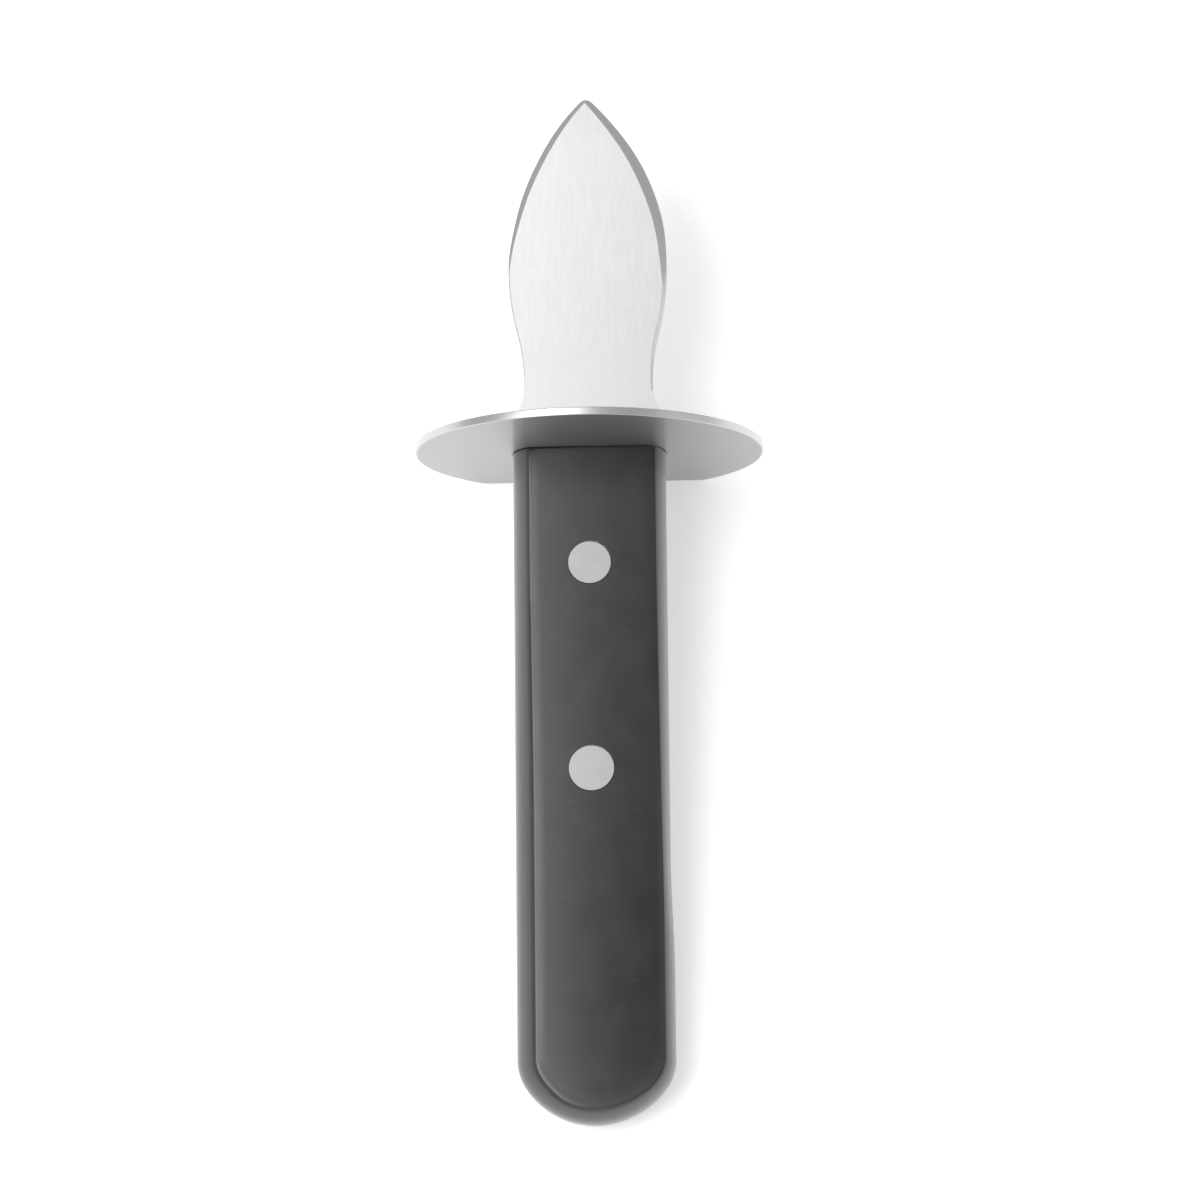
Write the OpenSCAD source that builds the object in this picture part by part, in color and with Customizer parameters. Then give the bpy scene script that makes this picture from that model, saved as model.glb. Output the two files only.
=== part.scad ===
// Oyster knife with a flat-bottomed round guard.
// The knife is drawn level: X across, Y towards the tip, Z up, with the handle's
// front end at Y = 0 and the mid-plane of blade and handle at Z = 0.
// rest_pose() then lays it on the table, on the guard's flat and the handle's butt.

/* [Blade] */
// Greatest width of the leaf-shaped blade
leaf_w = 24; // [22.5:0.5:26]
// Radius of the two curved cutting edges
leaf_r = 37.4; // [36:0.2:39]
// Distance from the handle to the blade's widest place
leaf_y = 28.2; // [27:0.2:30]
// Rounding of the point
tip_r = 1.4; // [0.8:0.1:2]
// Width of the neck
neck_w = 19.4; // [18:0.2:20.4]
// Distance from the handle to the neck
neck_y = 10.3; // [9.5:0.1:12]
// Radius of the flare from the neck to the root
root_r = 6; // [4:0.5:7]
// Thickness of the blade steel
blade_t = 2.5; // [2:0.1:3]
// Width of the ground bevel on the wide side
bevel_w = 1.4; // [0.8:0.1:1.5]
// Width of the ground bevel on the narrow side
narrow_bevel_w = 0.85; // [0.5:0.05:1.2]
// Slope of the bevels against the blade's face
bevel_angle = 35; // [25:1:38]
// Distance from the handle to where the bevels run out
bevel_end = 23.6; // [23:0.2:25]

/* [Tang] */
// Width of the tang inside the handle
tang_w = 12; // [9:0.5:15]
// Length of the tang inside the handle
tang_l = 60; // [56:1:75]
// Gap between the tang and its pocket
pocket_gap = 0.1; // [0.05:0.05:0.2]

/* [Guard] */
// Diameter of the guard
guard_d = 52.4; // [48:0.2:56]
// Thickness of the guard's sheet
guard_t = 1.2; // [1:0.1:1.5]
// Distance from the middle to the guard's flat
guard_flat = 19.9; // [18:0.1:21]
// Rounding of the flat's two corners
guard_corner = 2; // [1:0.5:4]

/* [Handle] */
// Length of the handle
handle_l = 101.4; // [95:0.2:110]
// Width of the handle, and of the blade's root
handle_w = 23; // [22:0.2:24]
// Thickness of the handle
handle_t = 10; // [9:0.2:11]
// How far the rounded sides fall back from the middle to the faces
side_inset = 2; // [1.5:0.1:2.5]
// Rise of the crowned faces
crown = 0.3; // [0.2:0.05:0.5]
// Radius of the butt
butt_r = 12.2; // [12.1:0.1:14]

/* [Rivets] */
// Distance from the guard to the upper rivet
upper_y = 17.7; // [16:0.1:20]
// Distance from the guard to the lower rivet
lower_y = 48.8; // [46:0.1:50]
// Diameter of the upper rivet's heads
upper_head_d = 6.4; // [6:0.05:7]
// Diameter of the lower rivet's heads
lower_head_d = 6.75; // [6:0.05:7]
// Thickness of the heads
head_h = 1.6; // [1.2:0.1:2]
// Diameter of the socket's barrel
barrel_d = 4.4; // [4:0.1:4.8]
// Diameter of the post
post_d = 3; // [2.6:0.1:3.2]

/* [Hidden] */
$fn = 128;

steel = [0.83, 0.83, 0.84];
polished = [0.76, 0.77, 0.78];
black = [0.13, 0.13, 0.14];

// How far cutting shapes run past the solid that they cut
past = 1;

// Blade outline: each edge is an arc about a centre on the far side of the blade
leaf_x = leaf_r - leaf_w / 2;
tip_y = leaf_y + sqrt(pow(leaf_r - tip_r, 2) - pow(leaf_x, 2));
blade_reach = tip_y + tip_r;
// The waist's arc crosses the leaf's arc by a hair, and is upright at the neck
cross = 0.02;
waist_m = leaf_x + neck_w / 2;
touch_r = leaf_r - cross;
waist_r = (pow(waist_m, 2) + pow(leaf_y - neck_y, 2) - pow(touch_r, 2)) / (2 * (touch_r - waist_m));
waist_x = neck_w / 2 + waist_r;
join_y = leaf_y - (leaf_y - neck_y) * touch_r / (touch_r + waist_r);
// How far the leaf's solid runs down into the waist's
leaf_overlap = 3;

// The handle's side is an arc through the face's edge, upright at the mid-plane
half_t = handle_t / 2;
side_r = (pow(half_t, 2) + pow(side_inset, 2)) / (2 * side_inset);
face_half = handle_w / 2 - side_inset;
crown_r = (pow(face_half, 2) + pow(crown, 2)) / (2 * crown);
butt_y = butt_r - handle_l;

// The rivet's head narrows a little towards its shoulder
head_taper = 0.2;
// The socket's barrel stops short of the post's shoulder
barrel_gap = 0.8;
// The bore runs on past the end of the post
post_gap = 0.6;
socket_floor = 0.8;

// The knife rests on the guard's flat and on the lower edge of the butt
rest_angle = atan((guard_flat - half_t) / (handle_l - side_inset));
lift = guard_flat * cos(rest_angle);
tip_reach = blade_reach * cos(rest_angle);
butt_reach = (handle_l - side_r) * cos(rest_angle) + side_r;
middle = (butt_reach - tip_reach) / 2;

// A point of the leaf's edge at the height y, moved in by w
function inset_edge(y, w) =
    let (turn = asin((y - leaf_y) / leaf_r))
    [(leaf_r - w) * cos(turn) - leaf_x, leaf_y + (leaf_r - w) * sin(turn)];

// Centre of the circle through three points
function circle_centre(p, q, r) =
    let (
        a = q - p,
        b = r - p,
        d = 2 * (a[0] * b[1] - a[1] * b[0])
    )
    p + [b[1] * (a * a) - a[1] * (b * b), a[0] * (b * b) - b[0] * (a * a)] / d;

module rest_pose() {
    translate([0, middle, lift])
        rotate([rest_angle, 0, 0])
            children();
}

// Both sides of a shape that is drawn for the +X side
module both_sides() {
    children();
    mirror([1, 0, 0])
        children();
}

module leaf() {
    touch = inset_edge(leaf_y + (tip_y - leaf_y) * leaf_r / (leaf_r - tip_r), 0);
    difference() {
        intersection() {
            translate([-leaf_x, leaf_y])
                circle(leaf_r);
            translate([leaf_x, leaf_y])
                circle(leaf_r);
            translate([-leaf_w, join_y - leaf_overlap])
                square([2 * leaf_w, 2 * leaf_r]);
        }
        polygon([[0, tip_y], touch, [0, blade_reach + past], [-touch[0], touch[1]]]);
    }
    translate([0, tip_y])
        circle(tip_r);
}

module waist_and_root() {
    difference() {
        translate([-handle_w / 2, guard_t])
            square([handle_w, join_y - guard_t]);
        both_sides() {
            intersection() {
                translate([waist_x, neck_y])
                    circle(waist_r);
                translate([0, neck_y])
                    square([handle_w, join_y]);
            }
            intersection() {
                translate([neck_w / 2 + root_r, neck_y])
                    circle(root_r);
                translate([0, neck_y - root_r])
                    square([handle_w, root_r]);
            }
        }
    }
}

module tang(gap) {
    half = tang_w / 2 + gap;
    translate([-half, half - tang_l - gap])
        square([2 * half, tang_l + gap - half + guard_t]);
    translate([0, half - tang_l - gap])
        circle(half);
}

// What the grinding takes off one side of the blade, above and below
module bevel_cut(w) {
    low = inset_edge(bevel_end, 0);
    mid = inset_edge((bevel_end + 2 * tip_y) / 3, w);
    high = inset_edge(tip_y, w * 0.9);
    centre = circle_centre(low, mid, high);
    ridge_r = norm(low - centre);
    run = (blade_t / 2) / tan(bevel_angle);
    over = blade_t / 2;
    difference() {
        translate([0, bevel_end - past, -over - past])
            cube([leaf_w, leaf_r, 2 * (over + past)]);
        translate([centre[0], centre[1], 0])
            rotate_extrude()
                polygon([[0, -2 * over], [ridge_r - run, -2 * over], [ridge_r + run, 0],
                         [ridge_r - run, 2 * over], [0, 2 * over]]);
    }
}

module blade() {
    color(steel)
        rest_pose()
            difference() {
                linear_extrude(height = blade_t, center = true)
                    union() {
                        leaf();
                        waist_and_root();
                        tang(0);
                    }
                bevel_cut(bevel_w);
                mirror([1, 0, 0])
                    bevel_cut(narrow_bevel_w);
                rivet_hole(upper_y);
                rivet_hole(lower_y);
            }
}

module rivet_hole(y) {
    translate([0, -y, -half_t - past])
        cylinder(d = barrel_d, h = handle_t + 2 * past);
}

// The guard's round, cut flat below, with its two corners rounded
module guard_outline() {
    r = guard_d / 2;
    corner_y = guard_corner - guard_flat;
    corner_x = sqrt(pow(r - guard_corner, 2) - pow(corner_y, 2));
    grow = r / (r - guard_corner);
    difference() {
        circle(r);
        translate([-r, -guard_flat - r])
            square([2 * r, r]);
        both_sides()
            difference() {
                polygon([[corner_x, corner_y], [corner_x, -r], [r, -r],
                         [corner_x * grow * grow, corner_y * grow * grow]]);
                translate([corner_x, corner_y])
                    circle(guard_corner);
            }
    }
}

module guard() {
    color(polished)
        rest_pose()
            difference() {
                rotate([90, 0, 0])
                    translate([0, 0, -guard_t])
                        linear_extrude(height = guard_t)
                            guard_outline();
                translate([-tang_w / 2 - pocket_gap, -past, -blade_t / 2 - pocket_gap])
                    cube([tang_w + 2 * pocket_gap, guard_t + 2 * past, blade_t + 2 * pocket_gap]);
            }
}

// Half of the handle's section: an arc of the side's radius, reach from the middle
module side_section(reach) {
    intersection() {
        union() {
            translate([reach - side_r, 0])
                circle(side_r);
            translate([0, -half_t])
                square([reach - side_r, handle_t]);
        }
        translate([0, -half_t])
            square([reach, handle_t]);
    }
}

module handle_blank() {
    intersection() {
        rotate([90, 0, 0])
            linear_extrude(height = handle_l)
                both_sides()
                    side_section(handle_w / 2);
        union() {
            translate([-handle_w, butt_y, -half_t])
                cube([2 * handle_w, -butt_y, handle_t]);
            translate([0, butt_y, 0])
                rotate_extrude()
                    side_section(butt_r);
        }
        for (side = [-1, 1])
            translate([0, past, side * (half_t - crown_r)])
                rotate([90, 0, 0])
                    cylinder(r = crown_r, h = handle_l + 2 * past);
    }
}

module handle() {
    color(black)
        rest_pose()
            difference() {
                handle_blank();
                translate([0, 0, -blade_t / 2 - pocket_gap])
                    linear_extrude(height = blade_t + 2 * pocket_gap)
                        tang(pocket_gap);
                rivet_hole(upper_y);
                rivet_hole(lower_y);
                for (side = [-1, 1]) {
                    head(upper_y, upper_head_d, side);
                    head(lower_y, lower_head_d, side);
                }
            }
}

// A rivet's head: side is 1 for the front face and -1 for the back face
module head(y, d, side) {
    translate([0, -y, side * half_t])
        rotate([side > 0 ? 180 : 0, 0, 0])
            cylinder(d1 = d, d2 = d - 2 * head_taper, h = head_h);
}

module post(y, d) {
    color(polished)
        rest_pose() {
            head(y, d, 1);
            translate([0, -y, socket_floor + post_gap - half_t])
                cylinder(d = post_d, h = handle_t - socket_floor - post_gap - head_h / 2);
        }
}

module socket(y, d) {
    color(polished)
        rest_pose()
            difference() {
                union() {
                    head(y, d, -1);
                    translate([0, -y, -half_t + head_h / 2])
                        cylinder(d = barrel_d, h = handle_t - 1.5 * head_h - barrel_gap);
                }
                translate([0, -y, socket_floor - half_t])
                    cylinder(d = post_d, h = handle_t);
            }
}

module upper_rivet_post() {
    post(upper_y, upper_head_d);
}

module upper_rivet_socket() {
    socket(upper_y, upper_head_d);
}

module lower_rivet_post() {
    post(lower_y, lower_head_d);
}

module lower_rivet_socket() {
    socket(lower_y, lower_head_d);
}

blade();
guard();
handle();
upper_rivet_post();
upper_rivet_socket();
lower_rivet_post();
lower_rivet_socket();
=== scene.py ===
"""Oyster knife: the looks of its blade, guard, handle and rivets, and the stage it lies on.

The knife lies on the guard's flat and on the lower edge of its butt. Patterns that run along
the knife are turned by its slope, so that they lie level with the blade and the handle.
"""
import math

import bmesh
import bpy
from mathutils import Matrix, Vector


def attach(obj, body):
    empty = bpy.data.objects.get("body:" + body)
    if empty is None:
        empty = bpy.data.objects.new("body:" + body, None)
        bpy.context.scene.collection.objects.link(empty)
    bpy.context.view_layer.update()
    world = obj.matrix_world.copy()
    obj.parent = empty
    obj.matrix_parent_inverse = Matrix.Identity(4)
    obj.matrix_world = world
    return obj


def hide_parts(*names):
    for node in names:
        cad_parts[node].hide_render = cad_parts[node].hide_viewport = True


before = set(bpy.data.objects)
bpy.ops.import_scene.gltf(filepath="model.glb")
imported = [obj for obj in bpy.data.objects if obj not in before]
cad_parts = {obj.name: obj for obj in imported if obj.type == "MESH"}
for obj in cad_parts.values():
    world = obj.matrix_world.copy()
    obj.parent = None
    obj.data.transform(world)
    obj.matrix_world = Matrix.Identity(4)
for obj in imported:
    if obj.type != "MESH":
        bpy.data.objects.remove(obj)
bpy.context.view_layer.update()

bl_info = {
    "name": "Oyster knife",
    "version": (1, 0, 0),
    "blender": (4, 5, 0),
    "location": "3D View > Sidebar > Oyster knife",
    "description": "Builds an oyster knife with a round guard and a riveted handle",
    "category": "Object",
}

# How the knife lies, as in the CAD source
REST_ANGLE = math.radians(8.525128)
KNIFE_ORIGIN = Vector((0, 0.022928548, 0.019680124))


def knife_to_table():
    """The move that lays the level knife on the table."""
    return Matrix.Translation(KNIFE_ORIGIN) @ Matrix.Rotation(REST_ANGLE, 4, "X")


# ---- modelling helpers

# Blender's own merging distances are too coarse for pieces this small
FINE = 1e-7


def select_none():
    """Back to object mode with nothing selected."""
    if bpy.context.object and bpy.context.object.mode != "OBJECT":
        bpy.ops.object.mode_set(mode="OBJECT")
    bpy.ops.object.select_all(action="DESELECT")


def select_only(piece):
    """Object mode, with this piece alone selected and active."""
    select_none()
    piece.select_set(True)
    bpy.context.view_layer.objects.active = piece


def open_up(piece):
    """Edit mode on one piece, with all of it selected."""
    select_only(piece)
    bpy.ops.object.mode_set(mode="EDIT")
    bpy.ops.mesh.select_all(action="SELECT")


def close_up():
    bpy.ops.object.mode_set(mode="OBJECT")


def pick_faces(piece, wanted):
    """Selects the faces whose middle and normal are wanted."""
    bpy.ops.mesh.select_mode(type="FACE")
    bpy.ops.mesh.select_all(action="DESELECT")
    mesh = bmesh.from_edit_mesh(piece.data)
    for face in mesh.faces:
        if wanted(face.calc_center_median(), face.normal):
            face.select_set(True)
    mesh.select_flush_mode()
    bmesh.update_edit_mesh(piece.data)


def pick_edges(piece, wanted):
    """Selects the edges whose two ends are wanted."""
    bpy.ops.mesh.select_mode(type="EDGE")
    bpy.ops.mesh.select_all(action="DESELECT")
    mesh = bmesh.from_edit_mesh(piece.data)
    for edge in mesh.edges:
        if wanted(edge.verts[0].co, edge.verts[1].co):
            edge.select_set(True)
    mesh.select_flush_mode()
    bmesh.update_edit_mesh(piece.data)


def pick_points(piece, wanted):
    """Selects the points that are wanted."""
    bpy.ops.mesh.select_mode(type="VERT")
    bpy.ops.mesh.select_all(action="DESELECT")
    mesh = bmesh.from_edit_mesh(piece.data)
    for point in mesh.verts:
        if wanted(point.co):
            point.select_set(True)
    mesh.select_flush_mode()
    bmesh.update_edit_mesh(piece.data)


def slice_off(place, direction, fill=False):
    """Cuts the whole mesh at a plane and drops what is past it."""
    bpy.ops.mesh.select_all(action="SELECT")
    bpy.ops.mesh.bisect(plane_co=place, plane_no=direction, clear_outer=True,
                        use_fill=fill, threshold=FINE)


def extrude_by(move):
    bpy.ops.mesh.extrude_region_move(TRANSFORM_OT_translate={"value": move})


def stretch_about(place, factors):
    bpy.ops.transform.resize(value=factors, center_override=place)


def faces_outwards():
    """Merges doubled points and turns every face outwards."""
    bpy.ops.mesh.select_all(action="SELECT")
    bpy.ops.mesh.remove_doubles(threshold=FINE)
    bpy.ops.mesh.normals_make_consistent(inside=False)


def apply_modifier(piece, kind, **settings):
    """Adds a modifier with these settings and applies it."""
    select_only(piece)
    modifier = piece.modifiers.new(kind.title(), kind)
    for name, value in settings.items():
        setattr(modifier, name, value)
    bpy.ops.object.modifier_apply(modifier=modifier.name)


def cut_with(piece, tool):
    """Takes the tool's shape out of the piece, and removes the tool."""
    apply_modifier(piece, "BOOLEAN", operation="DIFFERENCE", solver="EXACT", object=tool)
    bpy.data.objects.remove(tool)


def smooth_faces(piece, angle):
    """Smooth shading up to a crease angle, with flat faces kept flat."""
    select_only(piece)
    bpy.ops.object.shade_smooth_by_angle(angle=math.radians(angle))
    apply_modifier(piece, "WEIGHTED_NORMAL", keep_sharp=True, weight=100)


def lay_down(piece):
    """Lays the level piece on the table, with its place in its mesh."""
    select_only(piece)
    piece.rotation_euler = (REST_ANGLE, 0, 0)
    piece.location = KNIFE_ORIGIN
    bpy.ops.object.transform_apply(location=True, rotation=True, scale=True)


def hand_over(piece, node, material):
    """Gives a finished piece its finish and its place in the frame."""
    lay_down(piece)
    piece.data.materials.clear()
    piece.data.materials.append(material)
    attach(piece, "root")
    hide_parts(node)


# ---- node helpers

def new_material(name):
    """A new node material, its tree, its shader and its level Object coordinates."""
    material = bpy.data.materials.new(name)
    material.use_nodes = True
    tree = material.node_tree
    shader = tree.nodes["Principled BSDF"]
    where = tree.nodes.new("ShaderNodeTexCoord")
    level = tree.nodes.new("ShaderNodeMapping")
    level.vector_type = "TEXTURE"
    level.inputs["Location"].default_value = KNIFE_ORIGIN
    level.inputs["Rotation"].default_value = (REST_ANGLE, 0, 0)
    tree.links.new(where.outputs["Object"], level.inputs["Vector"])
    return material, tree, shader, level.outputs["Vector"]


def stretched(tree, vector, scale):
    """Coordinates scaled by scale along X, Y and Z."""
    node = tree.nodes.new("ShaderNodeVectorMath")
    node.operation = "MULTIPLY"
    node.inputs[1].default_value = scale
    tree.links.new(vector, node.inputs[0])
    return node.outputs["Vector"]


def noise(tree, vector, detail=2.0, roughness=0.5):
    """A noise pattern of scale 1 on the given coordinates."""
    node = tree.nodes.new("ShaderNodeTexNoise")
    node.inputs["Scale"].default_value = 1.0
    node.inputs["Detail"].default_value = detail
    node.inputs["Roughness"].default_value = roughness
    tree.links.new(vector, node.inputs["Vector"])
    return node.outputs["Fac"]


def ranged(tree, value, low, high, to_low, to_high):
    """A value's stretch from low to high, spread over to_low to to_high."""
    node = tree.nodes.new("ShaderNodeMapRange")
    node.inputs["From Min"].default_value = low
    node.inputs["From Max"].default_value = high
    node.inputs["To Min"].default_value = to_low
    node.inputs["To Max"].default_value = to_high
    tree.links.new(value, node.inputs["Value"])
    return node.outputs["Result"]


def mixed(tree, factor, dark, light):
    """A colour between dark and light by factor."""
    node = tree.nodes.new("ShaderNodeMix")
    node.data_type = "RGBA"
    node.inputs["A"].default_value = (*dark, 1)
    node.inputs["B"].default_value = (*light, 1)
    tree.links.new(factor, node.inputs["Factor"])
    return node.outputs["Result"]


def blended(tree, factor, shade, colour):
    """A shade that gives way to a plain colour by factor."""
    node = tree.nodes.new("ShaderNodeMix")
    node.data_type = "RGBA"
    node.inputs["B"].default_value = (*colour, 1)
    tree.links.new(shade, node.inputs["A"])
    tree.links.new(factor, node.inputs["Factor"])
    return node.outputs["Result"]


def computed(tree, operation, value, other=0.0):
    """A value worked on by a second one, which may be a plain number."""
    node = tree.nodes.new("ShaderNodeMath")
    node.operation = operation
    tree.links.new(value, node.inputs[0])
    if isinstance(other, float):
        node.inputs[1].default_value = other
    else:
        tree.links.new(other, node.inputs[1])
    return node.outputs["Value"]


def apart(tree, vector):
    """The X, Y and Z of some coordinates."""
    node = tree.nodes.new("ShaderNodeSeparateXYZ")
    tree.links.new(vector, node.inputs["Vector"])
    return node.outputs["X"], node.outputs["Y"], node.outputs["Z"]


def distance(tree, x, z):
    """How far a place lies from the knife's axis, from its X and Z."""
    squares = computed(tree, "ADD", computed(tree, "POWER", x, 2.0),
                       computed(tree, "POWER", z, 2.0))
    return computed(tree, "SQRT", squares)


def bumped(tree, height, distance, strength=1.0):
    """A normal from a height pattern, distance metres deep."""
    node = tree.nodes.new("ShaderNodeBump")
    node.inputs["Strength"].default_value = strength
    node.inputs["Distance"].default_value = distance
    tree.links.new(height, node.inputs["Height"])
    return node.outputs["Normal"]


# ---- materials

def brushed_steel(colour, roughness, thickness):
    """Steel brushed along the blade in fine short strokes, with painted light that makes its faces
    lighter towards the point.
    """
    material, tree, shader, level = new_material("brushed_blade_steel")
    strokes = noise(tree, stretched(tree, level, (1900, 330, 1900)), 1, 0.5)
    cloud = noise(tree, stretched(tree, level, (300, 90, 300)), 2)
    light = [min(1, 1.13 * c) for c in colour]
    dark = [0.93 * c for c in colour]
    x, y, z = apart(tree, level)
    face = ranged(tree, computed(tree, "ABSOLUTE", z), thickness / 2 - 0.0002,
                  thickness / 2 - 0.0001, 0, 1)
    # Painted light: the faces' colour rises from the neck to the point, standing in for the
    # lighter reflection there.
    painted_light_ramp = computed(tree, "MULTIPLY", ranged(tree, y, 0.014, 0.047, -0.35, 0.35), face)
    stroke = ranged(tree, strokes, 0.36, 0.68, 0.24, 0.46)
    shade = mixed(tree, computed(tree, "ADD", stroke, painted_light_ramp), dark, light)
    tree.links.new(shade, shader.inputs["Base Color"])
    tree.links.new(ranged(tree, cloud, 0.3, 0.7, roughness + 0.002, roughness - 0.002),
                   shader.inputs["Roughness"])
    tree.links.new(bumped(tree, strokes, 0.000001, 0.2), shader.inputs["Normal"])
    shader.inputs["Metallic"].default_value = 1
    return material


def polished_steel(colour, rim_colour, roughness, rim_roughness, guard, handle):
    """Steel sheet with a soft sheen, a polished rim, and painted shade in a dark band round the
    handle on its handle side.
    """
    material, tree, shader, level = new_material("polished_guard_steel")
    marks = noise(tree, stretched(tree, level, (700, 700, 700)), 4)
    cloud = noise(tree, stretched(tree, level, (90, 90, 90)), 2)
    dull = [0.96 * c for c in colour]
    shade = mixed(tree, ranged(tree, cloud, 0.3, 0.7, 0, 1), dull, colour)
    x, y, z = apart(tree, level)
    x = computed(tree, "ABSOLUTE", x)
    z = computed(tree, "ABSOLUTE", z)
    radius = guard.diameter / 2
    rim = ranged(tree, distance(tree, x, z), radius - 0.0003, radius - 0.0001, 0, 1)
    shade = blended(tree, rim, shade, rim_colour)
    # Painted shade: a dark band on the guard's handle side, just outside the handle's outline,
    # where the handle meets the guard.
    past_flat = computed(tree, "MAXIMUM", computed(
        tree, "SUBTRACT", x, handle.width / 2 - handle.side_radius), 0.0)
    side = ranged(tree, distance(tree, past_flat, z), handle.side_radius,
                  handle.side_radius + 0.0004, 1, 0)
    above = ranged(tree, z, handle.crease + 0.0005, handle.crease + 0.0009, 1, 0)
    behind = ranged(tree, y, 0.0002, 0.0004, 1, 0)
    painted_contact_shade = computed(tree, "MULTIPLY", computed(tree, "MULTIPLY", side, above), behind)
    # Blends in the painted shade's near-black colour.
    tree.links.new(blended(tree, painted_contact_shade, shade, (0.05, 0.05, 0.05)),
                   shader.inputs["Base Color"])
    soft = ranged(tree, marks, 0.35, 0.7, roughness, roughness + 0.01)
    sharper = ranged(tree, rim, 0, 1, 0, rim_roughness - roughness)
    tree.links.new(computed(tree, "ADD", soft, sharper), shader.inputs["Roughness"])
    tree.links.new(bumped(tree, marks, 0.000001, 0.3), shader.inputs["Normal"])
    shader.inputs["Metallic"].default_value = 1
    shader.inputs["Coat Weight"].default_value = 0.4
    shader.inputs["Coat Roughness"].default_value = 0.06
    return material


def satin_plastic(colour, painted_side_sheen, roughness, crease):
    """Black plastic with a satin skin and a few fine scuffs across it, with painted light that
    lightens it towards the guard, painted sheen on its rounded sides and a painted highlight along
    the face's edge towards the butt.
    """
    material, tree, shader, level = new_material("black_satin_plastic")
    grain = noise(tree, stretched(tree, level, (4000, 4000, 4000)), 2)
    scuffs = noise(tree, stretched(tree, level, (330, 5000, 330)), 1)
    cloud = noise(tree, stretched(tree, level, (260, 180, 260)), 3)
    dim_plastic = [0.3 * c for c in colour]
    bright_plastic = [2.3 * c for c in colour]
    scuffed = [4 * c for c in colour]
    x, y, z = apart(tree, level)
    # Painted light: the plastic grows lighter from the butt towards the guard, with a random
    # mottle on top.
    painted_light_and_mottle = computed(tree, "ADD", ranged(tree, y, -0.075, -0.01, 0, 0.8),
                    ranged(tree, cloud, 0.35, 0.7, 0, 0.2))
    shade = mixed(tree, painted_light_and_mottle, dim_plastic, bright_plastic)
    shade = blended(tree, ranged(tree, scuffs, 0.745, 0.805, 0, 1), shade, scuffed)
    # Painted sheen: the rounded sides below the face's edge take a lighter colour, standing in for
    # their glancing reflection.
    height = computed(tree, "ABSOLUTE", z)
    ground = ranged(tree, height, crease, 0.88 * crease, 0, 1)
    # Painted highlight: a faint lighter strip along the face's edge, towards the butt.
    edge = computed(tree, "MULTIPLY", ranged(tree, height, crease + 0.00018, crease, 0, 0.4),
                    ranged(tree, y, -0.035, -0.055, 0, 1))
    # The sides' painted sheen and the edge's painted highlight together.
    ground = computed(tree, "MAXIMUM", ground, edge)
    tree.links.new(blended(tree, ground, shade, painted_side_sheen), shader.inputs["Base Color"])
    tree.links.new(ranged(tree, cloud, 0.3, 0.7, roughness - 0.02, roughness + 0.02),
                   shader.inputs["Roughness"])
    tree.links.new(bumped(tree, grain, 0.000004, 0.3), shader.inputs["Normal"])
    shader.inputs["IOR"].default_value = 1.53
    shader.inputs["Sheen Weight"].default_value = 0.8
    shader.inputs["Sheen Roughness"].default_value = 0.4
    return material


def rivet_metal(colour, roughness):
    """Aluminium ground flush with the handle."""
    material, tree, shader, level = new_material("ground_rivet_metal")
    lines = noise(tree, stretched(tree, level, (5000, 900, 5000)), 3)
    cloud = noise(tree, stretched(tree, level, (500, 500, 500)), 3)
    dull = [0.94 * c for c in colour]
    shade = mixed(tree, ranged(tree, cloud, 0.3, 0.7, 0, 1), dull, colour)
    tree.links.new(shade, shader.inputs["Base Color"])
    tree.links.new(ranged(tree, lines, 0.3, 0.7, roughness - 0.003, roughness + 0.003),
                   shader.inputs["Roughness"])
    tree.links.new(bumped(tree, lines, 0.000001, 0.4), shader.inputs["Normal"])
    shader.inputs["Metallic"].default_value = 1
    return material


# ---- what a user would change

def colour_property(name, description, default):
    return bpy.props.FloatVectorProperty(
        name=name, description=description, default=default, subtype="COLOR", min=0, max=1)


def roughness_property(name, description, default):
    return bpy.props.FloatProperty(
        name=name, description=description, default=default, subtype="FACTOR", min=0, max=1)


def length_property(name, description, default):
    return bpy.props.FloatProperty(
        name=name, description=description, default=default, unit="LENGTH", min=0,
        precision=5)


class BladeSizes(bpy.types.PropertyGroup):
    """Sizes of the blade and its hidden tang."""
    width: length_property("Width", "Greatest width of the leaf", 0.024)
    edge_radius: length_property("Edge radius", "Radius of the cutting edges", 0.0374)
    widest_at: length_property("Widest at", "From the handle to the widest place", 0.0282)
    tip_radius: length_property("Tip radius", "Rounding of the point", 0.0014)
    neck: length_property("Neck", "Width of the neck", 0.0194)
    neck_at: length_property("Neck at", "From the handle to the neck", 0.0103)
    root: length_property("Root", "Width of the root at the guard", 0.023)
    root_radius: length_property("Root radius", "Flare from the neck to the root", 0.0075)
    thickness: length_property("Thickness", "Thickness of the steel", 0.0025)
    bevel: length_property("Bevel", "Width of the ground bevel on the right", 0.00135)
    bevel_at_tip: length_property("Bevel at the tip", "Its width at the point", 0.0011)
    bevel_end: length_property("Bevel end", "From the handle to the bevel's end", 0.0212)
    narrow_bevel: length_property("Narrow bevel", "Width of the left bevel", 0.0006)
    narrow_bevel_at_tip: length_property("Narrow bevel at the tip", "Its width at the point",
                                         0.00075)
    narrow_bevel_end: length_property("Narrow bevel end", "From the handle to its end", 0.026)
    bevel_slope: bpy.props.FloatProperty(
        name="Bevel slope", description="Angle between the bevels and the face",
        default=math.radians(35), unit="ROTATION")
    swing: length_property("Swing", "How far the leaf swings to the right", 0.0003)
    waist_bevel: length_property("Waist bevel", "Width of the bevel along the waist", 0.0006)
    left_waist_bevel: length_property("Left waist bevel", "The same on the left", 0.0002)
    tang: length_property("Tang width", "Width of the hidden tang", 0.012)
    tang_length: length_property("Tang length", "Length of the hidden tang", 0.06)


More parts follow.
